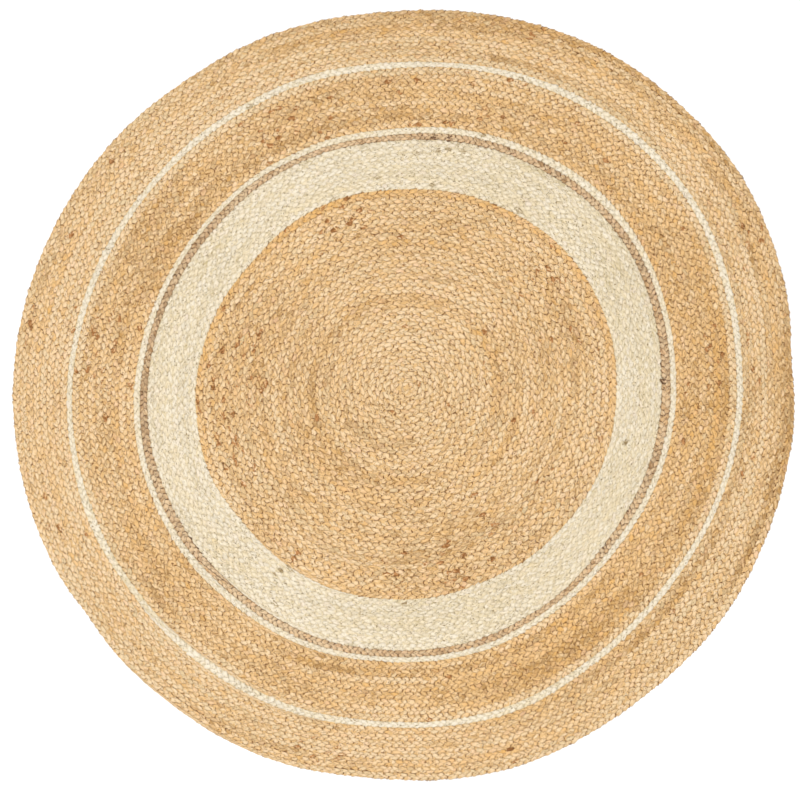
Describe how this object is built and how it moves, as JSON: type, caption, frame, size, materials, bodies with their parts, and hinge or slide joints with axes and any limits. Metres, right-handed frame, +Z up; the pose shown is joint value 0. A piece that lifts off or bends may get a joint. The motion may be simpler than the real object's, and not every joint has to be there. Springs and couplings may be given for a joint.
{
  "type": "round jute rug",
  "caption": "Round flat rug of plaited jute, coiled from the middle and sewn row to row, natural with cream stripes and a taupe row; lies flat on a floor.",
  "frame": {"origin": "the middle of the box round the rug's outline, on its underside", "axes": "+Z up, out of the face that is walked on; +X to the right and +Y to the top of the picture, which looks straight down"},
  "size_m": [1.2032, 1.1862, 0.008],
  "materials": {
    "natural_jute": "undyed golden plait, matt and slightly hairy",
    "cream_jute": "bleached plait, matt and slightly hairy",
    "taupe_jute": "mixed tan and grey-brown strands, matt"
  },
  "bodies": {
    "root": {"natural_coil": "natural_jute", "cream_band": "cream_jute", "taupe_row": "taupe_jute", "cream_row": "cream_jute", "natural_band": "natural_jute", "outer_cream_row": "cream_jute", "natural_rim": "natural_jute"}
  },
  "joints": []
}
